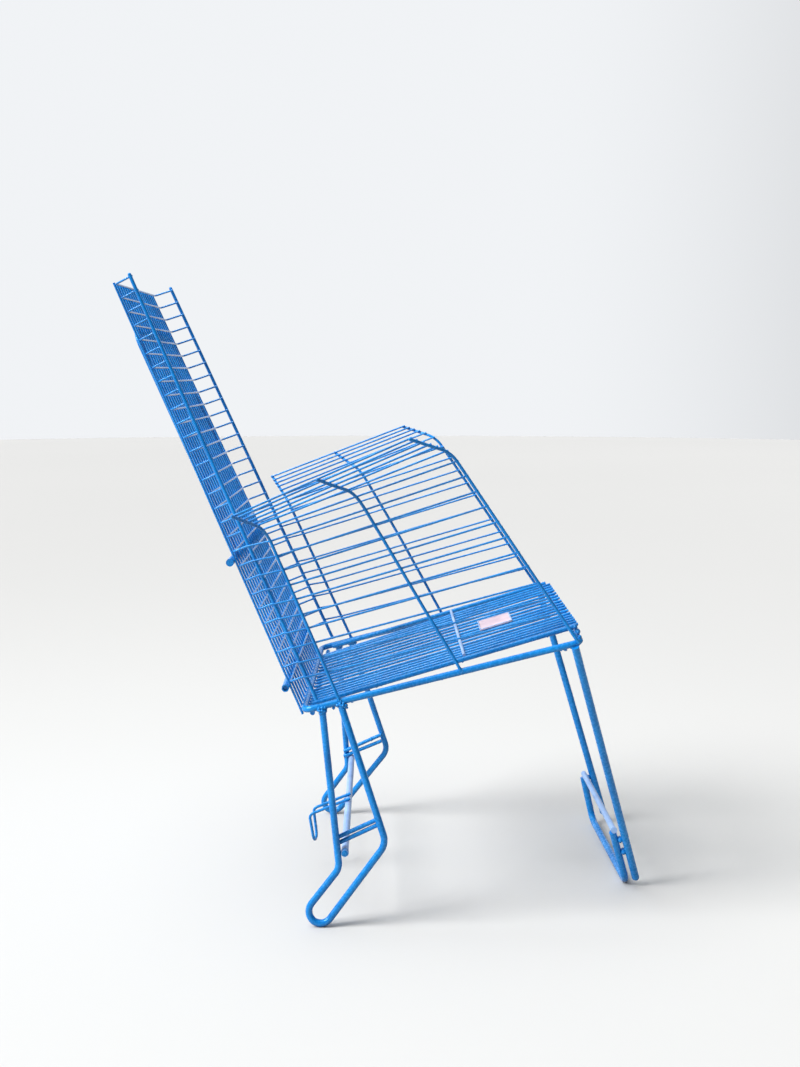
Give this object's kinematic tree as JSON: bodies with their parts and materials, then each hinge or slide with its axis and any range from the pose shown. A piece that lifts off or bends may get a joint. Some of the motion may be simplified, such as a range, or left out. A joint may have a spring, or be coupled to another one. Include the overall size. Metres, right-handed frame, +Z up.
{
  "type": "wire mesh lounge chair",
  "caption": "Open wire lounge chair: a tray-shaped wire back and curved wire arms on a round-tube seat frame, with bent loop rear legs and splayed front legs.",
  "frame": {"origin": "on the ground under the middle of the bounding box", "axes": "+X the way the chair faces, +Y to the sitter's left, +Z up"},
  "size_m": [0.8748, 0.6012, 1.0295],
  "materials": {
    "blue_paint": "glossy brushed-on enamel",
    "cross_tube_paint": "glossy enamel, thinner and paler",
    "bare_plate": "dull, blank"
  },
  "bodies": {
    "root": {"arm_left_front_bar": "blue_paint", "arm_left_lower_wires": "blue_paint", "arm_left_middle_bar": "blue_paint", "arm_left_rear_bar": "blue_paint", "arm_left_upper_wires": "blue_paint", "arm_right_front_bar": "blue_paint", "arm_right_lower_wires": "blue_paint", "arm_right_middle_bar": "blue_paint", "arm_right_rear_bar": "blue_paint", "arm_right_upper_wires": "blue_paint", "back_cross_wires": "blue_paint", "back_edge_rod_left": "blue_paint", "back_edge_rod_right": "blue_paint", "back_floor_wires": "blue_paint", "back_hairpin_brace": "blue_paint", "back_lower_cross_tube": "blue_paint", "back_upper_cross_tube": "blue_paint", "front_foot_frame": "blue_paint", "front_foot_spacers": "blue_paint", "front_foot_top_bar": "cross_tube_paint", "front_leg_left": "blue_paint", "front_leg_right": "blue_paint", "kick_loop": "blue_paint", "rear_leg_braces_left": "blue_paint", "rear_leg_braces_right": "blue_paint", "rear_leg_cross_tube": "cross_tube_paint", "rear_leg_left": "blue_paint", "rear_leg_right": "blue_paint", "seat_frame_tube": "blue_paint", "seat_plate": "bare_plate", "seat_rack_cross_rod": "cross_tube_paint", "seat_rack_front_rod": "blue_paint", "seat_rack_posts": "blue_paint", "seat_rack_rear_rod": "blue_paint", "seat_rack_side_rod_left": "blue_paint", "seat_rack_side_rod_right": "blue_paint", "seat_rack_wires": "blue_paint"}
  },
  "joints": []
}
